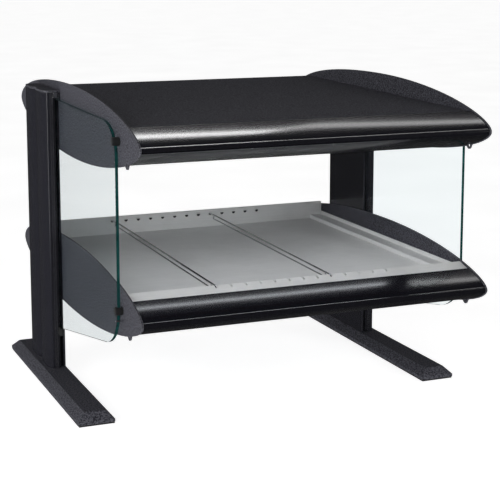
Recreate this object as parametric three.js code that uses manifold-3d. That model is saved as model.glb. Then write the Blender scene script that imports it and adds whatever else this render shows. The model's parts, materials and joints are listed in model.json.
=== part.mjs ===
// Counter-top hot food display case: two T-foot uprights carry a heated canopy above a heated shelf.
// Millimetres, +Z up, +X to the right seen from the front, front face towards -Y.
// Origin: centre of the bounding box in X and Y, at the surface that the foot pads stand on.

import * as THREE from "three";
import { mergeVertices } from "three/addons/utils/BufferGeometryUtils.js";
import Module from "manifold-3d";

const wasm = await Module();
wasm.setup();

// ---------------------------------------------------------------- driving dimensions

const DEPTH = 757.6;                  // nose to tail of the end panels
const NOSE = -DEPTH / 2;              // world y of the front of both end panels
const GAP = 0.3;                      // clearance between pieces that rest on or against each other
const OVER = 1;                       // how far a cutting tool runs past the faces it cuts

// End panel leaf, in its own axes: nose at the origin, y towards the back, z up.
const LEAF = {
  peak: [400.5, 66.2],
  tail: [757.6, 10.6],
  low: [361.2, -58.2],
  noseUp: 22.9,                       // tangent lengths of the four round stretches
  peakFront: 241.4,
  peakBack: 249.8,
  tailUp: 24.1,
  noseDown: 23.0,
  lowFront: 209.9,
  lowBack: 251.9,
  tailDown: 21.9,
};
const CANOPY = { noseZ: 479.3, tilt: 0 };
const SHELF = { noseZ: 212.8, tilt: THREE.MathUtils.degToRad(-1.08) };

const PANEL_IN = 299.6;               // distance of the end panel's faces from the middle plane
const PANEL_OUT = 302.6;
const INSIDE = PANEL_IN - GAP;        // half width of everything held between the end panels

const UPRIGHT_IN = 303.0;
const UPRIGHT_EDGE = 327.6;           // outer edge of the front and rear faces, before the lobes
const LOBE_RISE = 5.5;
const LOBE_FULLNESS = 4;              // power of the lobe's curve: 2 is a parabola, more is squarer
const LOBE_CORNER = 3.0;              // radius at both ends of each lobe
const CREASE_DEPTH = 3.2;             // valley between the two lobes, at mid depth
const INNER_EASE = 0.8;
const GROOVES = [317.6, 321.0];       // fine vertical grooves in the front and rear faces
const GROOVE_WIDTH = 1.3;
const GROOVE_DEPTH = 1.8;
const GROOVE_TAPER = 0.2;
const CELLS = [[476, 528], [535, 601]]; // hollow cells, front and rear, back from the nose
const CELL_WALL = 3.4;
const CELL_INSIDE = 307.2;
const CELL_CORNER = 2;
const UPRIGHT_FRONT = 455.4;          // measured back from the nose
const UPRIGHT_DEPTH = 152.7;
const UPRIGHT_TOP = 525.9;
const CAP_THICK = 3.0;

const FOOT_X = 321.5;
const FOOT_HALF = 31.3;
const FOOT_TOP_HALF = 18.4;
const FOOT_FRONT = 188.2;
const FOOT_REAR = 681.1;
const FOOT_BEVEL = 13.0;
const FOOT_LIP_Z = 7.9;
const FOOT_TOP_Z = 21.0;
const PAD_THICK = 2.5;
const PAD_INSET = 0.8;

const GLASS_IN = 306.6;
const GLASS_OUT = 311.6;
const CHANNEL_IN = 306.2;
const CHANNEL_OUT = 312.0;
const CHANNEL_DEPTH = 16.6;
const REBATE_OUT = 316.0;
const REBATE_DEPTH = 3.0;
const GLASS_BACK = 469.0;

const TRIM_INSET = 1.6;               // front trim surface below the end panel's edge
const TRIM_WALL = 2.6;
const TRIM_START = 62.0;              // where the trim begins on top and ends underneath
const TRIM_END = 98.0;
const RIBS = [                        // raised lines on the trim's nose: height, rise and half width
  [4.2, 1.4, 1.5],
  [-5.2, 0.7, 1.2],
];

const RIB_REACH = 20.0;               // ribs fade out this far behind the nose
const NOSE_FINE = { tall: 14, deep: 6, parts: 5 }; // edge near the nose is split into this many parts
const SHELF_TRIM_START = 59.4;

const TRAY = {
  sheet: 1.0,
  lipFront: 60.4,
  lipFrontZ: 237.8,
  lipBack: 84.5,
  lipBackZ: 245.2,
  ledgeZ: 231.0,
  ledgeHalf: 275.0,
  flangeZ: 238.0,
  floorZ: 223.5,
  back: 639.5,
  topZ: 257.5,
  hemDepth: 7.0,                      // folded rim behind the upstand
  hemZ: 249.0,
  lipDown: 5,
};
const PITCH = 25.4;                   // divider holes and slots
const STATIONS = 13;
const HOLE_R = 3.5;
const HOLE_Z = 249.6;
const SLOT_HALF = 2.3;
const SLOT_Z = 238.4;
const SLOT_REACH = 9;                 // slot's run forward into the sloped lip
const PIERCE = 4;                     // tools reach this far either side of an upright sheet
const DIVIDER_STATIONS = [0, 8];
const WIRE_R = 1.6;

const REAR_FACE = 716.0;              // outer face of both rear covers, back from the nose
const SHEET = 1.5;

// ---------------------------------------------------------------- colours and finishes

const FINISHES = {
  powder: { color: 0x2b2b31, roughness: 0.62, metalness: 0.15 },
  trim: { color: 0x17181d, roughness: 0.28, metalness: 0.35 },
  stainless: { color: 0xb4b3b2, roughness: 0.32, metalness: 0.95 },
  chrome: { color: 0xd8dade, roughness: 0.12, metalness: 1.0 },
  aluminium: { color: 0xc9cbce, roughness: 0.25, metalness: 0.95 },
  glass: { color: 0xdfecef, roughness: 0.04, metalness: 0.0 },
  rubber: { color: 0x131315, roughness: 0.85, metalness: 0.0 },
  plastic: { color: 0x18181b, roughness: 0.45, metalness: 0.0 },
  ceramic: { color: 0xe6e1d6, roughness: 0.6, metalness: 0.0 },
  element: { color: 0x4a4742, roughness: 0.5, metalness: 0.7 },
  silicone: { color: 0xa5482b, roughness: 0.7, metalness: 0.0 },
  insulation: { color: 0xd9d2b4, roughness: 0.95, metalness: 0.0 },
  lens: { color: 0xf2f1ea, roughness: 0.35, metalness: 0.0 },
  amber: { color: 0xd9731a, roughness: 0.25, metalness: 0.0 },
};

// ---------------------------------------------------------------- solids

const AXIS_ALONG_X = new THREE.Matrix4().makeBasis(
  new THREE.Vector3(0, 1, 0), new THREE.Vector3(0, 0, 1), new THREE.Vector3(1, 0, 0));
const AXIS_ALONG_Y = new THREE.Matrix4().makeBasis(
  new THREE.Vector3(0, 0, 1), new THREE.Vector3(1, 0, 0), new THREE.Vector3(0, 1, 0));

function solid(geometry) {
  const bare = geometry.index ? geometry.toNonIndexed() : geometry;
  bare.deleteAttribute("normal");
  bare.deleteAttribute("uv");
  const merged = mergeVertices(bare, 1e-4);
  return new wasm.Manifold(new wasm.Mesh({
    numProp: 3,
    vertProperties: new Float32Array(merged.attributes.position.array),
    triVerts: new Uint32Array(merged.index.array),
  }));
}

function geometryOf(body) {
  const mesh = body.getMesh();
  const geometry = new THREE.BufferGeometry();
  geometry.setAttribute("position", new THREE.BufferAttribute(new Float32Array(mesh.vertProperties), 3));
  geometry.setIndex(new THREE.BufferAttribute(new Uint32Array(mesh.triVerts), 1));
  return geometry;
}

const join = (bodies) => bodies.reduce((whole, next) => whole.add(next));
const cut = (body, tools) => tools.reduce((left, tool) => left.subtract(tool), body);

function box(x0, x1, y0, y1, z0, z1) {
  const geometry = new THREE.BoxGeometry(x1 - x0, y1 - y0, z1 - z0);
  geometry.translate((x0 + x1) / 2, (y0 + y1) / 2, (z0 + z1) / 2);
  return solid(geometry);
}

// A shape drawn in (y, z), run along x from x0 to x1.
function prismX(shape, x0, x1, segments = 12) {
  const geometry = new THREE.ExtrudeGeometry(shape,
    { depth: x1 - x0, bevelEnabled: false, curveSegments: segments });
  geometry.applyMatrix4(AXIS_ALONG_X);
  geometry.translate(x0, 0, 0);
  return solid(geometry);
}

// A shape drawn in (z, x), run along y from y0 to y1.
function prismY(shape, y0, y1, segments = 12) {
  const geometry = new THREE.ExtrudeGeometry(shape,
    { depth: y1 - y0, bevelEnabled: false, curveSegments: segments });
  geometry.applyMatrix4(AXIS_ALONG_Y);
  geometry.translate(0, y0, 0);
  return solid(geometry);
}

// A plan shape drawn in (x, y), run up from z0 to z1.
function prismZ(shape, z0, z1, segments = 12) {
  const geometry = new THREE.ExtrudeGeometry(shape,
    { depth: z1 - z0, bevelEnabled: false, curveSegments: segments });
  geometry.translate(0, 0, z0);
  return solid(geometry);
}

// A round rod between two points.
function rod(from, to, radius, sides = 16) {
  const a = new THREE.Vector3(...from);
  const b = new THREE.Vector3(...to);
  const geometry = new THREE.CylinderGeometry(radius, radius, a.distanceTo(b), sides);
  const turn = new THREE.Quaternion().setFromUnitVectors(
    new THREE.Vector3(0, 1, 0), b.clone().sub(a).normalize());
  geometry.applyQuaternion(turn);
  geometry.translate((a.x + b.x) / 2, (a.y + b.y) / 2, (a.z + b.z) / 2);
  return solid(geometry);
}

// Rounds the corners of a line of points.
function bentLine(points, bend, steps) {
  const line = [new THREE.Vector3(...points[0])];
  for (let i = 1; i < points.length - 1; i += 1) {
    const corner = new THREE.Vector3(...points[i]);
    const before = new THREE.Vector3(...points[i - 1]).sub(corner);
    const after = new THREE.Vector3(...points[i + 1]).sub(corner);
    const reach = Math.min(bend, before.length() * 0.45, after.length() * 0.45);
    const curve = new THREE.QuadraticBezierCurve3(
      corner.clone().addScaledVector(before.normalize(), reach),
      corner,
      corner.clone().addScaledVector(after.normalize(), reach));
    line.push(...curve.getPoints(steps));
  }
  line.push(new THREE.Vector3(...points[points.length - 1]));
  return line;
}

// A wire bent in a plane of constant x, swept in one piece with mitred rings and flat ends.
function wire(points, radius, sides = 10, bend = 4, steps = 4) {
  const line = bentLine(points, bend, steps);
  const across = new THREE.Vector3(1, 0, 0);
  const positions = [];
  line.forEach((point, i) => {
    const into = point.clone().sub(line[Math.max(i - 1, 0)]);
    const out = line[Math.min(i + 1, line.length - 1)].clone().sub(point);
    if (i === 0) into.copy(out);
    if (i === line.length - 1) out.copy(into);
    into.normalize();
    const along = into.clone().add(out.normalize()).normalize();
    const up = along.clone().cross(across).normalize();
    const stretch = 1 / along.dot(into);
    for (let k = 0; k < sides; k += 1) {
      const turn = (k / sides) * Math.PI * 2;
      const place = point.clone()
        .addScaledVector(across, radius * Math.cos(turn))
        .addScaledVector(up, radius * stretch * Math.sin(turn));
      positions.push(place.x, place.y, place.z);
    }
  });
  const first = line[0];
  const last = line[line.length - 1];
  positions.push(first.x, first.y, first.z, last.x, last.y, last.z);
  const faces = [];
  const rings = line.length;
  for (let k = 0; k < sides; k += 1) {
    const next = (k + 1) % sides;
    for (let i = 0; i < rings - 1; i += 1) {
      const near = i * sides;
      const far = near + sides;
      faces.push(near + k, near + next, far + next, near + k, far + next, far + k);
    }
    faces.push(rings * sides, next, k);
    faces.push(rings * sides + 1, (rings - 1) * sides + k, (rings - 1) * sides + next);
  }
  const geometry = new THREE.BufferGeometry();
  geometry.setAttribute("position", new THREE.Float32BufferAttribute(positions, 3));
  geometry.setIndex(faces);
  return solid(geometry);
}

// A turned piece: a profile of [radius, height] pairs round an axis through `at`, along `axis`.
function turned(profile, at, axis, sides = 24) {
  const outline = profile.map(([r, h]) => new THREE.Vector2(r, h));
  const geometry = new THREE.LatheGeometry(outline, sides);
  const turn = new THREE.Quaternion().setFromUnitVectors(
    new THREE.Vector3(0, 1, 0), new THREE.Vector3(...axis).normalize());
  geometry.applyQuaternion(turn);
  geometry.translate(...at);
  return solid(geometry);
}

function polygon(points) {
  return new THREE.Shape(points.map(([u, v]) => new THREE.Vector2(u, v)));
}

function roundedRect(u0, u1, v0, v1, r) {
  const shape = new THREE.Shape();
  shape.moveTo(u0 + r, v0);
  shape.lineTo(u1 - r, v0);
  shape.absarc(u1 - r, v0 + r, r, -Math.PI / 2, 0);
  shape.lineTo(u1, v1 - r);
  shape.absarc(u1 - r, v1 - r, r, 0, Math.PI / 2);
  shape.lineTo(u0 + r, v1);
  shape.absarc(u0 + r, v1 - r, r, Math.PI / 2, Math.PI);
  shape.lineTo(u0, v0 + r);
  shape.absarc(u0 + r, v0 + r, r, Math.PI, Math.PI * 1.5);
  return shape;
}

// Shifts an open line of points sideways; positive is to the left of the direction of travel.
function shifted(points, distance) {
  return points.map((point, i) => {
    const before = points[Math.max(i - 1, 0)];
    const after = points[Math.min(i + 1, points.length - 1)];
    const into = new THREE.Vector2(point[0] - before[0], point[1] - before[1]);
    const out = new THREE.Vector2(after[0] - point[0], after[1] - point[1]);
    if (into.length() === 0) into.copy(out);
    if (out.length() === 0) out.copy(into);
    into.normalize();
    out.normalize();
    const normal = new THREE.Vector2(-into.y - out.y, into.x + out.x).normalize();
    const mitre = normal.x * -into.y + normal.y * into.x;
    const reach = (typeof distance === "function" ? distance(point, i) : distance) / Math.max(mitre, 0.3);
    return [point[0] + normal.x * reach, point[1] + normal.y * reach];
  });
}

// Bent sheet: a line of points given a thickness to its left.
function bentSheet(points, thickness) {
  return polygon([...points, ...shifted(points, thickness).reverse()]);
}

const mirrored = (body) => body.mirror([1, 0, 0]);
const back = (distance) => NOSE + distance;        // world y from a distance behind the nose

// ---------------------------------------------------------------- end panel leaf

// Leaf coordinates to world [y, z] for the canopy or the shelf.
function onLeaf(unit, y, z) {
  const c = Math.cos(unit.tilt);
  const s = Math.sin(unit.tilt);
  return [NOSE + y * c - z * s, unit.noseZ + y * s + z * c];
}

// The leaf's edge in leaf coordinates, from low point forward over the nose and peak to the tail and round.
function leafEdge(segments) {
  const path = new THREE.Path();
  path.moveTo(...LEAF.low);
  path.bezierCurveTo(LEAF.low[0] - LEAF.lowFront, LEAF.low[1], 0, -LEAF.noseDown, 0, 0);
  path.bezierCurveTo(0, LEAF.noseUp, LEAF.peak[0] - LEAF.peakFront, LEAF.peak[1], ...LEAF.peak);
  path.bezierCurveTo(LEAF.peak[0] + LEAF.peakBack, LEAF.peak[1],
    LEAF.tail[0], LEAF.tail[1] + LEAF.tailUp, ...LEAF.tail);
  path.bezierCurveTo(LEAF.tail[0], LEAF.tail[1] - LEAF.tailDown,
    LEAF.low[0] + LEAF.lowBack, LEAF.low[1], ...LEAF.low);
  return path.getPoints(segments).map((p) => [p.x, p.y]);
}

// Hanging eye under the leaf's front: a rounded tab, with an open eye or a small screw hole.
const EYE = { y: 66.5, z: -29.9, halfWide: 3.4, halfTall: 3.7, screwZ: -32.2, screwR: 1.7 };
const EYE_TAB = [                     // its outline: offset from the eye in y, then leaf z
  [-13.0, -22.0], [-7.4, -29.8], [-4.6, -34.4], [-2.4, -36.1], [0, -36.6],
  [2.4, -36.1], [4.6, -34.4], [7.4, -32.6], [13.0, -22.0],
];
const PANEL_HOLES = [                 // trim screw and locating holes: leaf y, leaf z, radius, sides
  [60.2, 2.8, 1.9, 12],
  [60.2, -2.2, 1.9, 12],
  [11.0, 2.6, 1.1, 8],
  [11.0, -4.6, 1.1, 8],
];
const BOLT_BACKS = [500, 572];        // mounting bolts, behind the nose
const BOLT_Z = 4.0;                   // and above it, in leaf coordinates
const BOLT_HOLE_R = 3.4;

function eyeTab(unit, x0, x1) {
  return prismX(polygon(EYE_TAB.map(([dy, z]) => onLeaf(unit, EYE.y + dy, z))), x0, x1);
}

function endPanel(unit, openEye) {
  const edge = leafEdge(22).map(([y, z]) => onLeaf(unit, y, z));
  edge.pop();
  const panel = join([prismX(polygon(edge), PANEL_IN, PANEL_OUT), eyeTab(unit, PANEL_IN, PANEL_OUT)]);
  const through = (y, z, r, sides) => {
    const [wy, wz] = onLeaf(unit, y, z);
    return rod([PANEL_IN - OVER, wy, wz], [PANEL_OUT + OVER, wy, wz], r, sides);
  };
  const holes = [
    ...PANEL_HOLES.map((hole) => through(...hole)),
    ...BOLT_BACKS.map((y) => through(y, BOLT_Z, BOLT_HOLE_R, 16)),
  ];
  if (openEye) {
    const [wy, wz] = onLeaf(unit, EYE.y, EYE.z);
    const eye = new THREE.Shape();
    eye.absellipse(wy, wz, EYE.halfWide, EYE.halfTall, 0, Math.PI * 2);
    holes.push(prismX(eye, PANEL_IN - OVER, PANEL_OUT + OVER, 8));
  } else {
    holes.push(through(EYE.y, EYE.screwZ, EYE.screwR, 12));
  }
  return cut(panel, holes);
}

// ---------------------------------------------------------------- front trim

function trimShape(unit, start) {
  const edge = leafEdge(60);
  const nose = [];
  let front = false;
  for (const point of edge) {
    const under = point[1] < 0 && point[0] <= TRIM_END;
    const over = point[1] >= 0 && point[0] <= start;
    if (under) front = true;
    if (front && (under || over)) nose.push(point);
    if (front && point[1] > 0 && point[0] > start) break;
  }
  const rib = (z) => RIBS.reduce(
    (sum, [at, rise, half]) => sum + rise * Math.exp(-(((z - at) / half) ** 2)), 0);
  const fine = [];
  for (let i = 0; i < nose.length - 1; i += 1) {
    const atNose = Math.abs(nose[i][1]) < NOSE_FINE.tall && nose[i][0] < NOSE_FINE.deep;
    const parts = atNose ? NOSE_FINE.parts : 1;
    for (let k = 0; k < parts; k += 1) {
      const f = k / parts;
      fine.push([
        nose[i][0] + (nose[i + 1][0] - nose[i][0]) * f,
        nose[i][1] + (nose[i + 1][1] - nose[i][1]) * f,
      ]);
    }
  }
  fine.push(nose[nose.length - 1]);
  const outer = shifted(fine, (point) => -TRIM_INSET + (point[0] < RIB_REACH ? rib(point[1]) : 0));
  const inner = shifted(nose, -(TRIM_INSET + TRIM_WALL));
  return polygon([...outer, ...inner.reverse()].map(([y, z]) => onLeaf(unit, y, z)));
}

function frontTrim(unit, start) {
  return prismX(trimShape(unit, start), -INSIDE, INSIDE);
}

// ---------------------------------------------------------------- feet and uprights

function foot() {
  const z0 = PAD_THICK + GAP;
  const across = polygon([
    [z0, FOOT_X - FOOT_HALF],
    [FOOT_LIP_Z, FOOT_X - FOOT_HALF],
    [FOOT_TOP_Z, FOOT_X - FOOT_TOP_HALF],
    [FOOT_TOP_Z, FOOT_X + FOOT_TOP_HALF],
    [FOOT_LIP_Z, FOOT_X + FOOT_HALF],
    [z0, FOOT_X + FOOT_HALF],
  ]);
  const along = polygon([
    [back(FOOT_FRONT), z0],
    [back(FOOT_REAR), z0],
    [back(FOOT_REAR), FOOT_LIP_Z],
    [back(FOOT_REAR - FOOT_BEVEL), FOOT_TOP_Z],
    [back(FOOT_FRONT + FOOT_BEVEL), FOOT_TOP_Z],
    [back(FOOT_FRONT), FOOT_LIP_Z],
  ]);
  return prismY(across, back(FOOT_FRONT) - OVER, back(FOOT_REAR) + OVER)
    .intersect(prismX(along, FOOT_X - FOOT_HALF - OVER, FOOT_X + FOOT_HALF + OVER));
}

function footPad() {
  return box(FOOT_X - FOOT_HALF + PAD_INSET, FOOT_X + FOOT_HALF - PAD_INSET,
    back(FOOT_FRONT) + PAD_INSET, back(FOOT_REAR) - PAD_INSET, 0, PAD_THICK);
}

// Plan of the upright: flat inner face, grooved front and rear, two round lobes outside with a valley between.
function uprightPlan(grooved) {
  const half = [[UPRIGHT_IN, INNER_EASE], [UPRIGHT_IN + INNER_EASE, 0]];
  for (const x of grooved ? GROOVES : []) {
    const mouth = GROOVE_WIDTH / 2;
    const root = mouth - GROOVE_TAPER;
    half.push([x - mouth, 0], [x - root, GROOVE_DEPTH], [x + root, GROOVE_DEPTH], [x + mouth, 0]);
  }
  const middle = UPRIGHT_DEPTH / 2;
  const lobeEnd = middle - CREASE_DEPTH;
  const turn = (depth, from, to) => {
    const steps = 4;
    for (let i = 0; i <= steps; i += 1) {
      const a = THREE.MathUtils.degToRad(from + ((to - from) * i) / steps);
      half.push([UPRIGHT_EDGE - LOBE_CORNER * (1 - Math.sin(a)), depth - LOBE_CORNER * Math.cos(a)]);
    }
  };
  turn(LOBE_CORNER, 0, 90);
  const steps = 8;
  for (let i = 1; i < steps; i += 1) {
    const f = i / steps;
    half.push([
      UPRIGHT_EDGE + LOBE_RISE * (1 - Math.abs(2 * f - 1) ** LOBE_FULLNESS),
      LOBE_CORNER + (lobeEnd - LOBE_CORNER) * f,
    ]);
  }
  turn(lobeEnd, 90, 150);
  const rear = half.map(([x, depth]) => [x, UPRIGHT_DEPTH - depth]).reverse();
  return [...half, [UPRIGHT_EDGE - CREASE_DEPTH, middle], ...rear]
    .map(([x, depth]) => [x, back(UPRIGHT_FRONT + depth)]);
}

const BOLT = {
  holeDepth: 3.0,                     // holes and shank end beyond the channel's inner face
  reach: 4.6,
  shankR: 3.0,
  head: 3.0,
  headProfile: [[0, 0], [4.2, 0], [5.4, 1.0], [5.6, 3.0], [0, 3.0]],
  socketR: 2.3,
  socketFloor: 1.4,
};

function upright() {
  const y0 = back(UPRIGHT_FRONT);
  const z0 = FOOT_TOP_Z + GAP;
  const body = prismZ(polygon(uprightPlan(true)), z0, UPRIGHT_TOP);
  const cells = CELLS.map(([a, b]) => prismZ(
    roundedRect(CELL_INSIDE, UPRIGHT_EDGE - CELL_WALL, back(a), back(b), CELL_CORNER),
    z0 - OVER, UPRIGHT_TOP + OVER, 3));
  const channels = [
    box(CHANNEL_IN, CHANNEL_OUT, y0 - OVER, y0 + CHANNEL_DEPTH, z0 - OVER, UPRIGHT_TOP + OVER),
    box(CHANNEL_IN, REBATE_OUT, y0 - OVER, y0 + REBATE_DEPTH, z0 - OVER, UPRIGHT_TOP + OVER),
  ];
  const holes = [CANOPY, SHELF].flatMap((unit) => BOLT_BACKS.map((distance) => {
    const [y, z] = onLeaf(unit, distance, BOLT_Z);
    return rod([UPRIGHT_IN - OVER, y, z], [CHANNEL_IN + BOLT.holeDepth, y, z], BOLT_HOLE_R);
  }));
  return cut(body, [...cells, ...channels, ...holes]);
}

function uprightCap() {
  const z0 = UPRIGHT_TOP + GAP;
  return prismZ(polygon(uprightPlan(false)), z0, z0 + CAP_THICK);
}

function mountingBolt(unit, distance) {
  const [y, z] = onLeaf(unit, distance, BOLT_Z);
  const seat = PANEL_IN - GAP;
  const head = turned(BOLT.headProfile, [seat - BOLT.head, y, z], [1, 0, 0], 18);
  const socket = rod([seat - BOLT.head - 2 * OVER, y, z], [seat - BOLT.socketFloor, y, z], BOLT.socketR, 6);
  const shank = rod([seat - OVER, y, z], [CHANNEL_IN + BOLT.reach, y, z], BOLT.shankR);
  return join([cut(head, [socket]), shank]);
}

// ---------------------------------------------------------------- glass and what holds it

const BUMPERS = [
  { name: "upper", y: 101.7, z: 482.6 },
  { name: "lower", y: 99.0, z: 214.8 },
];
const BUMPER_R = 6.8;
const BUMPER_LENGTH = 12.6;
const BUMPER_SLOT = 0.5;              // slot's clearance round the pane's edge
const PANE = {                        // distances behind the nose, and heights
  rearTop: 514.2,
  topBend: [165, 509.6],
  topPulls: [[125, 509.0], [97, 490]],
  front: 97,
  frontTop: 455,
  frontBottom: 222,
  bottomPulls: [[97, 185], [118, 160]],
  bottomBend: [160, 148.6],
  rearBottom: 93.9,
};
const UPPER_STOP = { block: [514.9, 525.4], tab: [516.6, 525.4] };
const LOWER_STOP = { block: [80.0, 93.4], tab: [84.0, 98.0] };
const STOP = {
  armInset: 2.6,
  seat: 3.4,
  tabInset: 0.6,
  tabFront: 0.8,
  bridgeInset: 1.2,
  webFront: 2,
  webBack: 5,
};
const PIN = { y: 94.0, z: 200.0, r: 1.7, length: 13.4 };

// The pane's outline, anticlockwise from the top of its rear edge.
function paneOutline() {
  const at = ([distance, z]) => [back(distance), z];
  const shape = new THREE.Shape();
  shape.moveTo(back(GLASS_BACK), PANE.rearTop);
  shape.lineTo(...at(PANE.topBend));
  shape.bezierCurveTo(...PANE.topPulls.flatMap(at), back(PANE.front), PANE.frontTop);
  shape.lineTo(back(PANE.front), PANE.frontBottom);
  shape.bezierCurveTo(...PANE.bottomPulls.flatMap(at), ...at(PANE.bottomBend));
  shape.lineTo(back(GLASS_BACK), PANE.rearBottom);
  return shape;
}

function glass() {
  return prismX(paneOutline(), GLASS_IN, GLASS_OUT, 20);
}

// Black drum on the end panel, slotted to grip the front edge of the pane.
function glassBumper({ y, z }) {
  const r = BUMPER_R;
  const drum = turned([
    [0, 0], [r - 0.5, 0], [r, 0.6], [r, BUMPER_LENGTH - 1.2], [r - 0.8, BUMPER_LENGTH - 0.3],
    [r - 2.4, BUMPER_LENGTH], [0, BUMPER_LENGTH],
  ], [PANEL_OUT + GAP, back(y), z], [1, 0, 0], 24);
  const outline = paneOutline().getPoints(20).map((p) => [p.x, p.y]);
  const slot = prismX(polygon(shifted(outline, -BUMPER_SLOT)), GLASS_IN - GAP, GLASS_OUT + GAP);
  return cut(drum, [slot]);
}

function glassPin() {
  return turned([
    [0, 0], [PIN.r, 0], [PIN.r, PIN.length - 1.2], [PIN.r - 0.5, PIN.length - 0.2], [0, PIN.length],
  ], [PANEL_OUT + GAP, back(PIN.y), PIN.z], [1, 0, 0], 14);
}

// Block in the channel with a tab beside the pane; the arm between them passes where there is no glass.
function glassStop({ block, tab }) {
  const y0 = back(UPRIGHT_FRONT);
  const rear = y0 + REBATE_DEPTH - GAP;
  const inner = CHANNEL_OUT - STOP.armInset;
  const bottom = Math.max(block[0], tab[0]);
  const top = Math.min(block[1], tab[1]);
  return join([
    box(CHANNEL_IN + GAP, CHANNEL_OUT - GAP, y0 + STOP.seat, back(GLASS_BACK), ...block),
    box(GLASS_OUT + GAP, REBATE_OUT - STOP.tabInset, y0 - STOP.tabFront, rear, ...tab),
    box(inner, REBATE_OUT - STOP.bridgeInset, y0 + STOP.tabInset, rear, bottom, top),
    box(inner, CHANNEL_OUT - GAP, y0 + STOP.webFront, y0 + STOP.webBack, bottom, top),
  ]);
}

// ---------------------------------------------------------------- canopy

// Top sheet: leaf coordinates; `rise` is its slope from `from` to the rear.
const TOP = {
  z: 27.2,
  rise: 0.0157,
  from: 58,
  inset: 0.6,
  rear: 699.4,
  rearLip: 12,
  frontLip: 6,
  hook: [9, 7.5],
};
const topZ = (distance) => TOP.z + TOP.rise * (distance - TOP.from);

function canopyTop() {
  const front = TRIM_START + TOP.inset;
  const upper = [
    [TOP.rear, topZ(TOP.rear) - TOP.rearLip],
    [TOP.rear, topZ(TOP.rear)],
    [front, topZ(front)],
    [front, topZ(front) - TOP.frontLip],
    [front + TOP.hook[0], topZ(front) - TOP.hook[1]],
  ].map(([y, z]) => onLeaf(CANOPY, y, z));
  return prismX(bentSheet(upper, SHEET), -INSIDE, INSIDE);
}

const HEATER = { y: 380, z: 463, half: 262, r: 5.0, end: 6, pinR: 2.4, pinEnd: 12 };
const LINER_Z = 443.6;                // lower face of the flat underside
const LINER = { frontTop: 458.0, frontBottom: 447.4, flatFrom: 128, flatTo: 606, rear: 690, rearZ: 459.2 };
const LINER_FRONT = TRIM_END + 1.2;   // both lower sheets start behind the trim's lower edge
const HEATER_WINDOW = { reach: 46, below: 5, above: 8 };
const REFLECTOR = { flange: 58, mouth: 44, crown: 24, rise: 34, sheet: 1.0, overhang: 4 };
const HOLDER = { inset: 4, thick: 8, base: 8, half: 11, topGap: 0.4, boreR: 2.8 };
const GUARD = {
  drop: 6,
  inset: 6,
  bars: [-30, 0, 30],
  barR: 1.5,
  hoops: 7,
  hoopInset: 10,
  hoopReach: 50,
  hoopDrop: 2.4,
  hoopR: 1.4,
};
const LIGHT = {
  y: 190,
  half: 262,
  barHalf: 14,
  barDrop: 5,
  sheet: 1.4,
  lensInset: 2,
  lensHalf: 11.8,
  lensSide: 3,
  lensPull: 8,
};

function canopyUnderside() {
  const line = [
    [back(LINER_FRONT), LINER.frontTop],
    [back(LINER_FRONT), LINER.frontBottom],
    [back(LINER.flatFrom), LINER_Z],
    [back(LINER.flatTo), LINER_Z],
    [back(LINER.rear), LINER.rearZ],
  ];
  const sheet = prismX(bentSheet(line, SHEET), -INSIDE, INSIDE);
  const { reach, below, above } = HEATER_WINDOW;
  const window = box(-HEATER.half, HEATER.half,
    back(HEATER.y - reach), back(HEATER.y + reach), LINER_Z - below, LINER_Z + above);
  return cut(sheet, [window]);
}

function canopyReflector() {
  const { flange, mouth, crown, rise, sheet, overhang } = REFLECTOR;
  const y = back(HEATER.y);
  const z = LINER_Z + SHEET + GAP;
  const line = [
    [y + flange, z],
    [y + mouth, z],
    [y + crown, z + rise],
    [y - crown, z + rise],
    [y - mouth, z],
    [y - flange, z],
  ];
  return prismX(bentSheet(line, -sheet), -HEATER.half - overhang, HEATER.half + overhang);
}

function heaterElement() {
  const y = back(HEATER.y);
  const bodyEnd = HEATER.half - HEATER.end;
  const pinEnd = HEATER.half + HEATER.pinEnd;
  return join([
    rod([-bodyEnd, y, HEATER.z], [bodyEnd, y, HEATER.z], HEATER.r, 20),
    rod([-pinEnd, y, HEATER.z], [pinEnd, y, HEATER.z], HEATER.pinR, 12),
  ]);
}

// Ceramic holder hung in each end of the reflector, with a clear hole round the element's pin.
function heaterHolder(side) {
  const y = back(HEATER.y);
  const x0 = HEATER.half - HOLDER.inset;
  const x1 = x0 + HOLDER.thick;
  const liner = LINER_Z + SHEET;
  const block = box(x0, x1, y - HOLDER.half, y + HOLDER.half,
    liner + HOLDER.base, liner + GAP + REFLECTOR.rise - HOLDER.topGap);
  const bore = rod([x0 - OVER, y, HEATER.z], [x1 + OVER, y, HEATER.z], HOLDER.boreR, 16);
  const piece = cut(block, [bore]);
  return side > 0 ? piece : mirrored(piece);
}

function heaterGuard() {
  const z = LINER_Z - GUARD.drop;
  const x = HEATER.half - GUARD.inset;
  const bodies = GUARD.bars.map((dy) =>
    rod([-x, back(HEATER.y + dy), z], [x, back(HEATER.y + dy), z], GUARD.barR, 8));
  for (let i = 0; i < GUARD.hoops; i += 1) {
    const at = (x - GUARD.hoopInset) * ((2 * i) / (GUARD.hoops - 1) - 1);
    bodies.push(wire([
      [at, back(HEATER.y - GUARD.hoopReach), LINER_Z - GAP],
      [at, back(HEATER.y - GUARD.hoopReach), z - GUARD.hoopDrop],
      [at, back(HEATER.y + GUARD.hoopReach), z - GUARD.hoopDrop],
      [at, back(HEATER.y + GUARD.hoopReach), LINER_Z - GAP],
    ], GUARD.hoopR, 8, 3, 2));
  }
  return join(bodies);
}

function lightBar() {
  const y = back(LIGHT.y);
  const z = LINER_Z - GAP;
  const line = [
    [y + LIGHT.barHalf, z - LIGHT.barDrop],
    [y + LIGHT.barHalf, z],
    [y - LIGHT.barHalf, z],
    [y - LIGHT.barHalf, z - LIGHT.barDrop],
  ];
  return prismX(bentSheet(line, LIGHT.sheet), -LIGHT.half, LIGHT.half);
}

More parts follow.
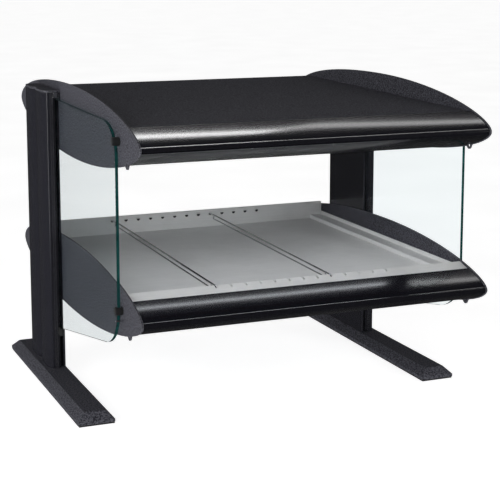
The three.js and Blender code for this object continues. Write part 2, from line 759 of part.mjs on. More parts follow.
function lightLens() {
  const y = back(LIGHT.y);
  const z = LINER_Z - LIGHT.sheet - 2 * GAP;
  const shape = new THREE.Shape();
  shape.moveTo(y - LIGHT.lensHalf, z);
  shape.lineTo(y - LIGHT.lensHalf, z - LIGHT.lensSide);
  shape.bezierCurveTo(y - LIGHT.lensPull, z - LIGHT.lensPull, y + LIGHT.lensPull, z - LIGHT.lensPull,
    y + LIGHT.lensHalf, z - LIGHT.lensSide);
  shape.lineTo(y + LIGHT.lensHalf, z);
  return prismX(shape, -LIGHT.half + LIGHT.lensInset, LIGHT.half - LIGHT.lensInset, 12);
}

// Channel-shaped rear cover between two end panels; its top runs forward to `deck`, in leaf coordinates.
const COVER = { front: 692.5, top: 32.0, bottom: -13.5, lip: 6, bevel: 3 };
const CANOPY_DECK = [701.4, 33.6];
const SHELF_DECK = [646.4, 49.6];

function rearCover(unit, deck, openings) {
  const line = [
    [COVER.front, COVER.bottom - COVER.lip],
    [REAR_FACE - COVER.bevel, COVER.bottom],
    [REAR_FACE, COVER.bottom + COVER.bevel],
    [REAR_FACE, COVER.top - COVER.bevel],
    [REAR_FACE - COVER.bevel, COVER.top],
    deck,
  ].map(([y, z]) => onLeaf(unit, y, z));
  return cut(prismX(bentSheet(line, SHEET), -INSIDE, INSIDE), openings);
}

// ---------------------------------------------------------------- controls

const CONTROL_RISE = 10.5;            // controls above the nose, in leaf coordinates
const [REAR_CANOPY_Y, CANOPY_CONTROL_Z] = onLeaf(CANOPY, REAR_FACE, CONTROL_RISE);
const [REAR_SHELF_Y, SHELF_CONTROL_Z] = onLeaf(SHELF, REAR_FACE, CONTROL_RISE);
const SWITCH = {
  halfWide: 6.6,
  halfTall: 9.6,
  bezel: 2.6,
  bezelThick: 2.2,
  bezelCorner: 1.5,
  wall: 0.3,
  depth: 16,
  wellDepth: 5.4,
  pivotOut: 0.6,                      // rocker's centre outside the cover
  rockerHalf: [5.7, 8.5],
  rockerBack: 3.4,
  rockerTip: 2.9,
  rockerWaist: [1.4, 0.6],
  lean: 8,
};
const BLADE = { offsets: [-5, 0, 5], halfWide: 2.4, halfThick: 0.4, length: 7 };
const COVER_CUT = 8;                  // tools for openings reach this far either side of a rear cover
const SWITCHES = [
  { name: "light_switch", x: 190, unit: CANOPY },
  { name: "power_switch", x: 190, unit: SHELF },
];
const KNOB = {
  x: 105,
  r: 15.5,
  length: 17,
  stand: 3.4,
  flutes: 12,
  fluteR: 1.9,
  fluteInset: 1.4,
  fluteFrom: 6.4,
};
const POINTER = { half: 0.9, from: 3, proud: 0.7, inner: 2.5, outerInset: 2.4 };
const SHAFT = { r: 3.0, inside: 10, outside: 15 };
const THERMOSTAT = { half: 17, back: 40, front: 5, below: 15, above: 13, bushR: 5.2, bushOut: 2.6, bore: 12 };
const LAMP = { x: 150, r: 4.6, length: 14, neck: 0.5 };
const GLAND = { x: -215, r: 8.6, nutR: 12.6, nut: 6, domeFrom: 5, inside: 12, boreR: 4.4, hole: 8.8 };
const BUSH_HOLE_R = 5.6;

const controlZ = (unit) => (unit === CANOPY ? CANOPY_CONTROL_Z : SHELF_CONTROL_Z);
const controlY = (unit) => (unit === CANOPY ? REAR_CANOPY_Y : REAR_SHELF_Y);

function switchOpening({ x, unit }) {
  const y = controlY(unit);
  const z = controlZ(unit);
  return box(x - SWITCH.halfWide, x + SWITCH.halfWide, y - COVER_CUT, y + COVER_CUT,
    z - SWITCH.halfTall, z + SWITCH.halfTall);
}

function switchBody({ x, unit }) {
  const y = controlY(unit);
  const z = controlZ(unit);
  const wide = SWITCH.halfWide - GAP;
  const tall = SWITCH.halfTall - GAP;
  const rimWide = wide + SWITCH.bezel;
  const rimTall = tall + SWITCH.bezel;
  const bezel = prismY(
    roundedRect(z - rimTall, z + rimTall, x - rimWide, x + rimWide, SWITCH.bezelCorner),
    y + GAP, y + GAP + SWITCH.bezelThick, 3);
  const body = box(x - wide, x + wide, y - SWITCH.depth, y + GAP + OVER / 2, z - tall, z + tall);
  const well = box(x - wide + SWITCH.wall, x + wide - SWITCH.wall, y - SWITCH.wellDepth,
    y + GAP + SWITCH.bezelThick + OVER, z - tall + SWITCH.wall, z + tall - SWITCH.wall);
  const bottom = y - SWITCH.depth;
  const blades = BLADE.offsets.map((dz) => box(x - BLADE.halfWide, x + BLADE.halfWide,
    bottom - BLADE.length, bottom + OVER, z + dz - BLADE.halfThick, z + dz + BLADE.halfThick));
  return join([cut(join([bezel, body]), [well]), ...blades]);
}

// The rocker leans with its upper end pressed in when it is off.
function switchRocker({ x, unit }) {
  const y = controlY(unit) + SWITCH.pivotOut;
  const z = controlZ(unit);
  const [halfWide, halfTall] = SWITCH.rockerHalf;
  const lean = THREE.MathUtils.degToRad(SWITCH.lean);
  const [waist, waistHalf] = SWITCH.rockerWaist;
  const outline = [
    [-SWITCH.rockerBack, -halfTall],
    [SWITCH.rockerTip, -halfTall],
    [waist, -waistHalf],
    [waist, waistHalf],
    [SWITCH.rockerTip, halfTall],
    [-SWITCH.rockerBack, halfTall],
  ].map(([u, v]) => [
    y + u * Math.cos(lean) - v * Math.sin(lean),
    z + u * Math.sin(lean) + v * Math.cos(lean),
  ]);
  return prismX(polygon(outline), x - halfWide, x + halfWide);
}

function thermostat() {
  const y = REAR_SHELF_Y;
  const z = SHELF_CONTROL_Z;
  const t = THERMOSTAT;
  const body = box(KNOB.x - t.half, KNOB.x + t.half, y - t.back, y - t.front, z - t.below, z + t.above);
  const bush = rod([KNOB.x, y - t.front - OVER, z], [KNOB.x, y + t.bushOut, z], t.bushR, 20);
  const bore = rod([KNOB.x, y - t.bore, z], [KNOB.x, y + t.bushOut + OVER, z], SHAFT.r + GAP, 20);
  return cut(join([body, bush]), [bore]);
}

function thermostatShaft() {
  const y = REAR_SHELF_Y;
  const z = SHELF_CONTROL_Z;
  return rod([KNOB.x, y - SHAFT.inside, z], [KNOB.x, y + SHAFT.outside, z], SHAFT.r, 20);
}

function thermostatKnob() {
  const y = REAR_SHELF_Y + KNOB.stand;
  const z = SHELF_CONTROL_Z;
  const r = KNOB.r;
  const body = turned([
    [0, 0], [r - 1.5, 0], [r, 1.2], [r, 4.4], [r - 2.6, 5.6], [r - 3.4, KNOB.length - 1.4],
    [r - 4.6, KNOB.length], [0, KNOB.length],
  ], [KNOB.x, y, z], [0, 1, 0], 32);
  const flutes = [];
  for (let i = 1; i < KNOB.flutes; i += 1) {
    const a = (i / KNOB.flutes) * Math.PI * 2;
    const fx = KNOB.x + Math.sin(a) * (r - KNOB.fluteInset);
    const fz = z + Math.cos(a) * (r - KNOB.fluteInset);
    flutes.push(rod([fx, y + KNOB.fluteFrom, fz], [fx, y + KNOB.length + OVER, fz], KNOB.fluteR, 10));
  }
  const pointer = box(KNOB.x - POINTER.half, KNOB.x + POINTER.half, y + POINTER.from,
    y + KNOB.length + POINTER.proud, z + POINTER.inner, z + r - POINTER.outerInset);
  const bore = rod([KNOB.x, y - OVER, z], [KNOB.x, REAR_SHELF_Y + SHAFT.outside + GAP, z], SHAFT.r + GAP, 20);
  return cut(join([cut(body, flutes), pointer]), [bore]);
}

function pilotLamp() {
  const y = REAR_SHELF_Y;
  const z = SHELF_CONTROL_Z;
  return join([
    turned([
      [0, 0], [LAMP.r + 1.6, 0], [LAMP.r + 1.6, 1.2], [LAMP.r, 1.8],
      [LAMP.r - 0.6, 3.8], [LAMP.r - 2.4, 5.0], [0, 5.4],
    ], [LAMP.x, y + GAP, z], [0, 1, 0], 20),
    rod([LAMP.x, y - LAMP.length, z], [LAMP.x, y + OVER, z], LAMP.r - LAMP.neck, 20),
  ]);
}

function cordGland() {
  const y = REAR_SHELF_Y;
  const z = SHELF_CONTROL_Z;
  const nut = rod([GLAND.x, y + GAP, z], [GLAND.x, y + GLAND.nut, z], GLAND.nutR, 6);
  const dome = turned([
    [0, 0], [10.6, 0], [10.6, 8], [8.6, 14], [6.4, 16.5], [0, 16.5],
  ], [GLAND.x, y + GLAND.domeFrom, z], [0, 1, 0], 24);
  const thread = rod([GLAND.x, y - GLAND.inside, z], [GLAND.x, y + GLAND.nut / 2, z], GLAND.r - GAP, 24);
  const bore = rod([GLAND.x, y - GLAND.inside - OVER, z], [GLAND.x, y + 3 * GLAND.inside, z], GLAND.boreR, 20);
  return cut(join([nut, dome, thread]), [bore]);
}

// ---------------------------------------------------------------- shelf

function trayProfile() {
  return [
    [TRAY.lipFront, TRAY.lipFrontZ - TRAY.lipDown],
    [TRAY.lipFront, TRAY.lipFrontZ],
    [TRAY.lipBack, TRAY.lipBackZ],
    [TRAY.lipBack, TRAY.ledgeZ],
    [TRAY.back, TRAY.ledgeZ],
    [TRAY.back, TRAY.topZ],
    [TRAY.back + TRAY.hemDepth, TRAY.topZ],
    [TRAY.back + TRAY.hemDepth, TRAY.hemZ],
  ].map(([y, z]) => [back(y), z]);
}

const stationX = (i) => (i - (STATIONS - 1) / 2) * PITCH;

function shelfTray() {
  const t = TRAY.sheet;
  const step = 0.05;                  // keeps the pan's faces clear of the ledge's
  const ledges = prismX(bentSheet(trayProfile(), -t), -INSIDE, INSIDE);
  const pan = box(-TRAY.ledgeHalf, TRAY.ledgeHalf, back(TRAY.lipBack) - t + step, back(TRAY.back) + t - step,
    TRAY.floorZ - t, TRAY.ledgeZ - step);
  const hollow = box(t - TRAY.ledgeHalf, TRAY.ledgeHalf - t, back(TRAY.lipBack) + step, back(TRAY.back) - step,
    TRAY.floorZ, TRAY.topZ);
  const flange = box(INSIDE - t - step, INSIDE - step, back(TRAY.lipBack) + t, back(TRAY.back) - t,
    TRAY.ledgeZ - t / 2, TRAY.flangeZ);
  const whole = join([ledges, pan, flange, mirrored(flange)]).subtract(hollow);
  const tools = [];
  for (let i = 0; i < STATIONS; i += 1) {
    const x = stationX(i);
    tools.push(rod([x, back(TRAY.back) - PIERCE, HOLE_Z], [x, back(TRAY.back) + PIERCE, HOLE_Z], HOLE_R, 12));
    tools.push(box(x - SLOT_HALF, x + SLOT_HALF,
      back(TRAY.lipBack - SLOT_REACH), back(TRAY.lipBack + PIERCE), SLOT_Z, TRAY.lipBackZ + OVER));
  }
  return cut(whole, tools);
}

// Lane divider: a top wire from rear hole to front slot, with a lower wire welded under it.
const DIVIDER = {
  drop: 8.0,                          // lower wire under the top one
  thinner: 0.25,
  topEnds: { hole: 5, bendBack: 9, bendFront: 1, slot: 5, overSlot: 0.6, frontDown: 1.0 },
  lowerEnds: { back: [22, 16], front: [18, 12], weld: 0.1 },
};

function divider(x) {
  const { drop, thinner, topEnds, lowerEnds } = DIVIDER;
  const front = TRAY.lipBackZ - topEnds.frontDown;
  const top = [
    [x, back(TRAY.back + topEnds.hole), HOLE_Z],
    [x, back(TRAY.back - topEnds.bendBack), HOLE_Z],
    [x, back(TRAY.lipBack - topEnds.bendFront), front],
    [x, back(TRAY.lipBack - topEnds.slot), SLOT_Z + WIRE_R + topEnds.overSlot],
  ];
  const lower = [
    [x, back(TRAY.back - lowerEnds.back[0]), HOLE_Z - lowerEnds.weld],
    [x, back(TRAY.back - lowerEnds.back[1]), HOLE_Z - drop],
    [x, back(TRAY.lipBack + lowerEnds.front[1]), front - drop],
    [x, back(TRAY.lipBack + lowerEnds.front[0]), front + lowerEnds.weld],
  ];
  return join([wire(top, WIRE_R, 12, 3, 3), wire(lower, WIRE_R - thinner, 10, 4, 3)]);
}

const SHELF_PAN = [                   // behind the nose, height
  [LINER_FRONT, 184.0],
  [LINER_FRONT, 175.6],
  [170, 164.5],
  [560, 158.5],
  [690, 178.0],
];
const BLANKET = { half: 264, front: 112, rear: 620, corner: 12, thick: 1.6 };
const INSULATION = { half: 270, front: 100, rear: 632, thick: 25 };

function shelfPan() {
  return prismX(bentSheet(SHELF_PAN.map(([y, z]) => [back(y), z]), SHEET), -INSIDE, INSIDE);
}

function blanketHeater() {
  const { half, front, rear, corner, thick } = BLANKET;
  const z1 = TRAY.floorZ - TRAY.sheet - GAP;
  return prismZ(roundedRect(-half, half, back(front), back(rear), corner), z1 - thick, z1, 4);
}

function shelfInsulation() {
  const { half, front, rear, thick } = INSULATION;
  const z1 = TRAY.floorZ - TRAY.sheet - BLANKET.thick - 2 * GAP;
  return box(-half, half, back(front), back(rear), z1 - thick, z1);
}

// ---------------------------------------------------------------- assembly

const display = new THREE.Group();
display.name = "hot_food_display_case";

function add(name, body, finish) {
  const look = FINISHES[finish];
  const material = new THREE.MeshStandardMaterial({
    color: look.color,
    roughness: look.roughness,
    metalness: look.metalness,
    transparent: finish === "glass",
    opacity: finish === "glass" ? 0.35 : 1,
  });
  const mesh = new THREE.Mesh(geometryOf(body), material);
  mesh.name = name;
  display.add(mesh);
}

// One piece on the right and its mirror image on the left.
function addPair(name, body, finish) {
  add(`right_${name}`, body, finish);
  add(`left_${name}`, mirrored(body), finish);
}

addPair("foot", foot(), "powder");
addPair("foot_pad", footPad(), "rubber");
addPair("upright", upright(), "trim");
addPair("upright_cap", uprightCap(), "powder");
addPair("glass", glass(), "glass");
addPair("upper_glass_stop", glassStop(UPPER_STOP), "chrome");
addPair("lower_glass_stop", glassStop(LOWER_STOP), "chrome");
addPair("glass_pin", glassPin(), "chrome");
for (const place of BUMPERS) {
  addPair(`${place.name}_glass_bumper`, glassBumper(place), "rubber");
}

for (const [name, unit] of [["canopy", CANOPY], ["shelf", SHELF]]) {
  addPair(`${name}_end`, endPanel(unit, unit === CANOPY), "powder");
  BOLT_BACKS.forEach((distance, i) => {
    addPair(`${name}_${i === 0 ? "front" : "rear"}_bolt`, mountingBolt(unit, distance), "chrome");
  });
}

add("canopy_front_trim", frontTrim(CANOPY, TRIM_START), "trim");
add("canopy_top", canopyTop(), "powder");
add("canopy_underside", canopyUnderside(), "powder");
add("canopy_rear_cover", rearCover(CANOPY, CANOPY_DECK, [
  ...SWITCHES.filter(({ unit }) => unit === CANOPY).map(switchOpening),
]), "powder");
add("canopy_reflector", canopyReflector(), "aluminium");
add("canopy_heater", heaterElement(), "element");
add("right_heater_holder", heaterHolder(1), "ceramic");
add("left_heater_holder", heaterHolder(-1), "ceramic");
add("canopy_heater_guard", heaterGuard(), "chrome");
add("canopy_light_bar", lightBar(), "aluminium");
add("canopy_light_lens", lightLens(), "lens");

add("shelf_front_trim", frontTrim(SHELF, SHELF_TRIM_START), "trim");
add("shelf_tray", shelfTray(), "stainless");
add("shelf_pan", shelfPan(), "powder");
const hole = (x, r) =>
  rod([x, REAR_SHELF_Y - COVER_CUT, SHELF_CONTROL_Z], [x, REAR_SHELF_Y + COVER_CUT, SHELF_CONTROL_Z], r, 24);
add("shelf_rear_cover", rearCover(SHELF, SHELF_DECK, [
  ...SWITCHES.filter(({ unit }) => unit === SHELF).map(switchOpening),
  hole(KNOB.x, BUSH_HOLE_R),
  hole(LAMP.x, LAMP.r),
  hole(GLAND.x, GLAND.hole),
]), "powder");
add("shelf_blanket_heater", blanketHeater(), "silicone");
add("shelf_insulation", shelfInsulation(), "insulation");
add("left_divider", divider(stationX(DIVIDER_STATIONS[0])), "chrome");
add("right_divider", divider(stationX(DIVIDER_STATIONS[1])), "chrome");

for (const one of SWITCHES) {
  add(`${one.name}_body`, switchBody(one), "plastic");
  add(`${one.name}_rocker`, switchRocker(one), "plastic");
}
add("thermostat", thermostat(), "aluminium");
add("thermostat_shaft", thermostatShaft(), "chrome");
add("thermostat_knob", thermostatKnob(), "plastic");
add("pilot_lamp", pilotLamp(), "amber");
add("cord_gland", cordGland(), "plastic");

export default display;
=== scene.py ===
"""Looks for a counter-top hot food display case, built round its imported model.

Metres, +Z up, front towards -Y.
"""

import json
import math

import bmesh
import bpy
from mathutils import Matrix, Vector

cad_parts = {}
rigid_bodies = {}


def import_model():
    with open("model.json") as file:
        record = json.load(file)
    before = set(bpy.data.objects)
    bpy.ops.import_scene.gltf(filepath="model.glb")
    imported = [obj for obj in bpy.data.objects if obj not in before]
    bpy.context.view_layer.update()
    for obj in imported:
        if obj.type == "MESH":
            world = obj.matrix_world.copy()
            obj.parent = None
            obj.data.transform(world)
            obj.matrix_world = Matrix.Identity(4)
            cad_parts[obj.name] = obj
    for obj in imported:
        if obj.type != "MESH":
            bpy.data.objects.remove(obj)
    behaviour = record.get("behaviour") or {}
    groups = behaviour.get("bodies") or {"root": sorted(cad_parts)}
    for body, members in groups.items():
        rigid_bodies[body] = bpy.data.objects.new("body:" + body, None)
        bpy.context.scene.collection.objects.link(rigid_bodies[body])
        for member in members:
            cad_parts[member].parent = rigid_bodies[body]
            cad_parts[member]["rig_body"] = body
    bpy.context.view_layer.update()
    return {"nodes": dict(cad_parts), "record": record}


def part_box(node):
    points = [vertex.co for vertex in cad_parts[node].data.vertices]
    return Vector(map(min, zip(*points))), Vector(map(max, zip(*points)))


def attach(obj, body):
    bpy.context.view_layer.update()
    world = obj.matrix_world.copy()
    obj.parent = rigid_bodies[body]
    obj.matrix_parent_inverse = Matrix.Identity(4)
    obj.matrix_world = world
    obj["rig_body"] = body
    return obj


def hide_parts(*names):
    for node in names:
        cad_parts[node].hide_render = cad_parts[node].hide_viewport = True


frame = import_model()

SLOTS = {part["node"]: part["material_slot"] for part in frame["record"]["subparts"]}
NODES = frame["nodes"]
MM = 0.001


# ---------------------------------------------------------------- shader building blocks

def new_material(name, **constants):
    """A Principled material with these constant socket values; returns it with its tree and shader."""
    made = bpy.data.materials.new(name)
    made.use_nodes = True
    shader = made.node_tree.nodes["Principled BSDF"]
    for socket, value in constants.items():
        shader.inputs[socket.replace("_", " ")].default_value = value
    return made, made.node_tree, shader


def pattern(tree, scale, stretch=(1, 1, 1), detail=2.0, roughness=0.5, kind="ShaderNodeTexNoise"):
    """A solid pattern in the object's own metres; scale is in features per metre before stretching."""
    place = tree.nodes.new("ShaderNodeTexCoord")
    mapping = tree.nodes.new("ShaderNodeMapping")
    mapping.inputs["Scale"].default_value = stretch
    texture = tree.nodes.new(kind)
    texture.inputs["Scale"].default_value = scale
    if kind == "ShaderNodeTexNoise":
        texture.inputs["Detail"].default_value = detail
        texture.inputs["Roughness"].default_value = roughness
    tree.links.new(place.outputs["Object"], mapping.inputs["Vector"])
    tree.links.new(mapping.outputs["Vector"], texture.inputs["Vector"])
    return texture.outputs["Distance" if kind == "ShaderNodeTexVoronoi" else "Fac"]


def ramp(tree, source, *stops):
    """Maps a 0 to 1 value through (position, grey or colour) stops."""
    node = tree.nodes.new("ShaderNodeValToRGB")
    elements = node.color_ramp.elements
    while len(elements) < len(stops):
        elements.new(0.5)
    for element, (position, value) in zip(elements, stops):
        element.position = position
        element.color = (value, value, value, 1) if isinstance(value, float) else (*value, 1)
    tree.links.new(source, node.inputs["Fac"])
    return node.outputs["Color"]


def blend_colours(tree, factor, first, second, mode="MIX"):
    node = tree.nodes.new("ShaderNodeMix")
    node.data_type = "RGBA"
    node.blend_type = mode
    for socket, value in ((node.inputs[0], factor), (node.inputs[6], first), (node.inputs[7], second)):
        if isinstance(value, bpy.types.NodeSocket):
            tree.links.new(value, socket)
        elif isinstance(value, float):
            socket.default_value = value
        else:
            socket.default_value = (*value, 1)
    return node.outputs[2]


def raise_surface(tree, shader, height, strength, distance):
    """Bump from a height pattern; distance is the full height in metres."""
    bump = tree.nodes.new("ShaderNodeBump")
    bump.inputs["Strength"].default_value = strength
    bump.inputs["Distance"].default_value = distance
    tree.links.new(height, bump.inputs["Height"])
    tree.links.new(bump.outputs["Normal"], shader.inputs["Normal"])


# How closely the rounded normal agrees with the face's own, as a cosine; edges are painted lighter as wear
# and as a painted highlight.
FULL_WEAR_AND_HIGHLIGHT, NO_WEAR_OR_HIGHLIGHT = 0.86, 0.985
WEAR_AND_HIGHLIGHT_REACH = 0.9 * MM


def wear_and_highlight_edges(tree):
    """White close to an edge, where a finish wears first and where a highlight is painted along the rounding.
    """
    rounded = tree.nodes.new("ShaderNodeBevel")
    rounded.samples = 4
    rounded.inputs["Radius"].default_value = WEAR_AND_HIGHLIGHT_REACH
    geometry = tree.nodes.new("ShaderNodeNewGeometry")
    agree = tree.nodes.new("ShaderNodeVectorMath")
    agree.operation = "DOT_PRODUCT"
    tree.links.new(rounded.outputs["Normal"], agree.inputs[0])
    tree.links.new(geometry.outputs["Normal"], agree.inputs[1])
    return ramp(tree, agree.outputs["Value"], (FULL_WEAR_AND_HIGHLIGHT, 1.0), (NO_WEAR_OR_HIGHLIGHT, 0.0))


# ---------------------------------------------------------------- materials

def powder_coat():
    """Charcoal powder coat: fine grain, coarser speckle, light flecks; edges lighter as wear and painted
    highlight.
    """
    made, tree, shader = new_material("powder_coat", Metallic=0.0, IOR=1.12, Coat_Weight=0.04,
                                      Coat_Roughness=0.28, Coat_IOR=1.5)
    grain = pattern(tree, 1100, detail=3.0, roughness=0.7)
    speckle = pattern(tree, 380, detail=2.0, roughness=0.60)
    flecks = ramp(tree, pattern(tree, 900, kind="ShaderNodeTexVoronoi"), (0.0, 1.0), (0.16, 0.0))
    patches = pattern(tree, 7, detail=3.0)
    fine = ramp(tree, grain, (0.30, (0.022, 0.022, 0.029)), (0.72, (0.072, 0.072, 0.086)))
    coarse = ramp(tree, speckle, (0.40, (0.008, 0.008, 0.011)), (0.60, (0.150, 0.150, 0.176)))
    base = blend_colours(tree, 0.62, fine, coarse)
    shaded = blend_colours(tree, ramp(tree, patches, (0.35, 0.0), (0.70, 0.22)), base, (0.060, 0.060, 0.070))
    flecked = blend_colours(tree, ramp(tree, flecks, (0.0, 0.0), (1.0, 0.45)), shaded, (0.14, 0.14, 0.16))
    # Edges painted lighter: partly wear, partly a painted highlight on the rounding.
    edges_worn_and_lit = blend_colours(tree, wear_and_highlight_edges(tree), flecked, (0.17, 0.17, 0.18))
    tree.links.new(edges_worn_and_lit, shader.inputs["Base Color"])
    tree.links.new(ramp(tree, grain, (0.3, 0.46), (0.7, 0.62)), shader.inputs["Roughness"])
    raise_surface(tree, shader, speckle, 0.25, 0.06 * MM)
    return made


def satin_black(name, along, dark, light, edge_colour_wear_and_highlight):
    """Satin black extrusion finish: faint die lines along one axis; edges lighter as wear and painted
    highlight.
    """
    made, tree, shader = new_material(name, Metallic=0.0, Specular_IOR_Level=0.40, Coat_Weight=0.20,
                                      Coat_Roughness=0.10)
    stretch = [1.0, 1.0, 1.0]
    stretch["xyz".index(along)] = 0.001
    lines = pattern(tree, 700, stretch, detail=2.0)
    grain = pattern(tree, 600, detail=3.0, roughness=0.7)
    tone = ramp(tree, grain, (0.35, dark), (0.65, light))
    # Edges painted lighter: partly wear, partly a painted highlight on the rounding.
    edges_worn_and_lit = blend_colours(tree, wear_and_highlight_edges(tree), tone, edge_colour_wear_and_highlight)
    tree.links.new(edges_worn_and_lit, shader.inputs["Base Color"])
    tree.links.new(ramp(tree, lines, (0.3, 0.18), (0.7, 0.21)), shader.inputs["Roughness"])
    height = blend_colours(tree, 0.35, lines, grain)
    raise_surface(tree, shader, height, 0.04, 0.02 * MM)
    return made


def brushed_stainless():
    """Stainless sheet with a grain across the case and faint handling marks."""
    made, tree, shader = new_material("brushed_stainless", Metallic=0.15)
    brush = pattern(tree, 1500, (0.008, 1, 1), detail=3.0, roughness=0.65)
    marks = pattern(tree, 16, detail=5.0, roughness=0.6)
    tone = ramp(tree, brush, (0.25, (0.76, 0.76, 0.755)), (0.75, (0.90, 0.90, 0.895)))
    dulled = blend_colours(tree, ramp(tree, marks, (0.45, 0.0), (0.75, 0.35)), tone, (0.68, 0.68, 0.67))
    tree.links.new(dulled, shader.inputs["Base Color"])
    rough = blend_colours(tree, 0.5, ramp(tree, brush, (0.3, 0.34), (0.7, 0.50)),
                          ramp(tree, marks, (0.3, 0.32), (0.75, 0.52)))
    tree.links.new(rough, shader.inputs["Roughness"])
    raise_surface(tree, shader, brush, 0.18, 0.03 * MM)
    return made


def plated(name, light, dark, smooth, rough):
    """Bright plating or polished sheet with faint smears."""
    made, tree, shader = new_material(name, Metallic=1.0)
    smears = pattern(tree, 55, detail=4.0, roughness=0.6)
    scratches = pattern(tree, 1800, (1, 0.02, 1), detail=2.0)
    tree.links.new(ramp(tree, smears, (0.35, light), (0.75, dark)), shader.inputs["Base Color"])
    tree.links.new(ramp(tree, smears, (0.3, smooth), (0.75, rough)), shader.inputs["Roughness"])
    raise_surface(tree, shader, scratches, 0.08, 0.02 * MM)
    return made


def clear_glass():
    """Toughened pane: nearly clear, with very faint smears in its gloss."""
    made, tree, shader = new_material("clear_glass", Base_Color=(0.925, 0.970, 0.978, 1),
                                      Transmission_Weight=1.0, IOR=1.12, Metallic=0.0)
    smears = pattern(tree, 18, detail=5.0, roughness=0.62)
    tree.links.new(ramp(tree, smears, (0.45, 0.0), (0.85, 0.03)), shader.inputs["Roughness"])
    return made


def glass_edge():
    """The polished edge of the pane, deep blue-green."""
    made, tree, shader = new_material("glass_edge", Metallic=0.0, Transmission_Weight=0.10, IOR=1.5)
    streaks = pattern(tree, 260, (1, 1, 0.2), detail=3.0)
    tone = ramp(tree, streaks, (0.3, (0.002, 0.020, 0.020)), (0.75, (0.012, 0.085, 0.080)))
    tree.links.new(tone, shader.inputs["Base Color"])
    tree.links.new(ramp(tree, streaks, (0.3, 0.06), (0.75, 0.16)), shader.inputs["Roughness"])
    return made


def moulded(name, dark, light, smooth, rough, grain_scale=1600, depth=0.06):
    """Moulded plastic, rubber or ceramic: mottled tone with a fine surface grain. Depth is in millimetres."""
    made, tree, shader = new_material(name, Metallic=0.0)
    grain = pattern(tree, grain_scale, detail=3.0, roughness=0.6)
    mottle = pattern(tree, 40, detail=4.0)
    tone = blend_colours(tree, 0.5, ramp(tree, mottle, (0.3, dark), (0.7, light)),
                         ramp(tree, grain, (0.3, dark), (0.7, light)))
    tree.links.new(tone, shader.inputs["Base Color"])
    tree.links.new(ramp(tree, grain, (0.3, smooth), (0.7, rough)), shader.inputs["Roughness"])
    raise_surface(tree, shader, grain, 0.35, depth * MM)
    return made


def lit_lens():
    """Frosted lens over the light, switched on, a little brighter in uneven bands."""
    made, tree, shader = new_material("frosted_lens", Metallic=0.0, Emission_Strength=5.5)
    bands = pattern(tree, 30, (1, 0.2, 0.2), detail=3.0)
    tree.links.new(ramp(tree, bands, (0.3, (0.80, 0.80, 0.77)), (0.7, (0.90, 0.90, 0.87))),
                   shader.inputs["Base Color"])
    tree.links.new(ramp(tree, bands, (0.3, (0.86, 0.90, 0.96)), (0.7, (0.92, 0.96, 1.0))),
                   shader.inputs["Emission Color"])
    tree.links.new(ramp(tree, bands, (0.3, 0.30), (0.7, 0.50)), shader.inputs["Roughness"])
    raise_surface(tree, shader, pattern(tree, 1500), 0.35, 0.05 * MM)
    return made


def heat_tinted_sheath():
    """Sheathed element, oxidised in uneven bands along its length."""
    made, tree, shader = new_material("heat_tinted_sheath", Metallic=0.85)
    bands = pattern(tree, 60, (1, 0.3, 0.3), detail=4.0)
    tone = ramp(tree, bands, (0.25, (0.075, 0.068, 0.062)), (0.5, (0.16, 0.125, 0.095)),
                (0.8, (0.11, 0.115, 0.14)))
    tree.links.new(tone, shader.inputs["Base Color"])
    tree.links.new(ramp(tree, bands, (0.3, 0.38), (0.7, 0.62)), shader.inputs["Roughness"])
    raise_surface(tree, shader, pattern(tree, 1400), 0.3, 0.04 * MM)
    return made


def pressed_fibre():
    """Insulation slab of matted fibre."""
    made, tree, shader = new_material("pressed_fibre", Metallic=0.0, Sheen_Weight=0.3)
    fibres = pattern(tree, 420, (0.25, 1, 1), detail=6.0, roughness=0.75)
    tone = ramp(tree, fibres, (0.25, (0.52, 0.47, 0.33)), (0.75, (0.80, 0.76, 0.62)))
    tree.links.new(tone, shader.inputs["Base Color"])
    tree.links.new(ramp(tree, fibres, (0.3, 0.86), (0.7, 0.98)), shader.inputs["Roughness"])
    raise_surface(tree, shader, fibres, 0.8, 0.8 * MM)
    return made


MATERIALS = {
    "powder": powder_coat(),
    # The last colour of each satin black goes on its edges as wear and painted highlight; the uprights'
    # paints highlight lines along their grooves.
    "trim": satin_black("satin_black_trim", "x", (0.002, 0.002, 0.003), (0.007, 0.007, 0.010),
                        (0.030, 0.030, 0.035)),
    "trim_upright": satin_black("satin_black_upright", "z", (0.006, 0.006, 0.009), (0.024, 0.024, 0.031),
                                (0.11, 0.11, 0.12)),
    "stainless": brushed_stainless(),
    "chrome": plated("bright_plate", (0.80, 0.81, 0.83), (0.66, 0.67, 0.69), 0.07, 0.20),
    "aluminium": plated("bright_aluminium", (0.84, 0.84, 0.85), (0.72, 0.72, 0.73), 0.16, 0.32),
    "glass": clear_glass(),
    "glass_edge": glass_edge(),
    "rubber": moulded("black_rubber", (0.006, 0.006, 0.007), (0.020, 0.020, 0.021), 0.55, 0.8, 1300, 0.10),
    "plastic": moulded("black_plastic", (0.010, 0.010, 0.011), (0.024, 0.024, 0.026), 0.34, 0.50),
    "ceramic": moulded("steatite", (0.66, 0.62, 0.53), (0.82, 0.79, 0.71), 0.45, 0.65, 1100, 0.08),
    "element": heat_tinted_sheath(),
    "silicone": moulded("orange_silicone", (0.30, 0.075, 0.030), (0.42, 0.13, 0.055), 0.6, 0.8, 700, 0.15),
    "insulation": pressed_fibre(),
    "lens": lit_lens(),
    "amber": moulded("amber_lens", (0.55, 0.13, 0.010), (0.78, 0.24, 0.020), 0.12, 0.26, 900, 0.03),
    "mark": moulded("pale_marking", (0.62, 0.62, 0.60), (0.78, 0.78, 0.76), 0.45, 0.60),
}


# ---------------------------------------------------------------- pieces made from the frame's own nodes

def link(name, mesh):
    made = bpy.data.objects.new(name, mesh)
    bpy.context.scene.collection.objects.link(made)
    return made


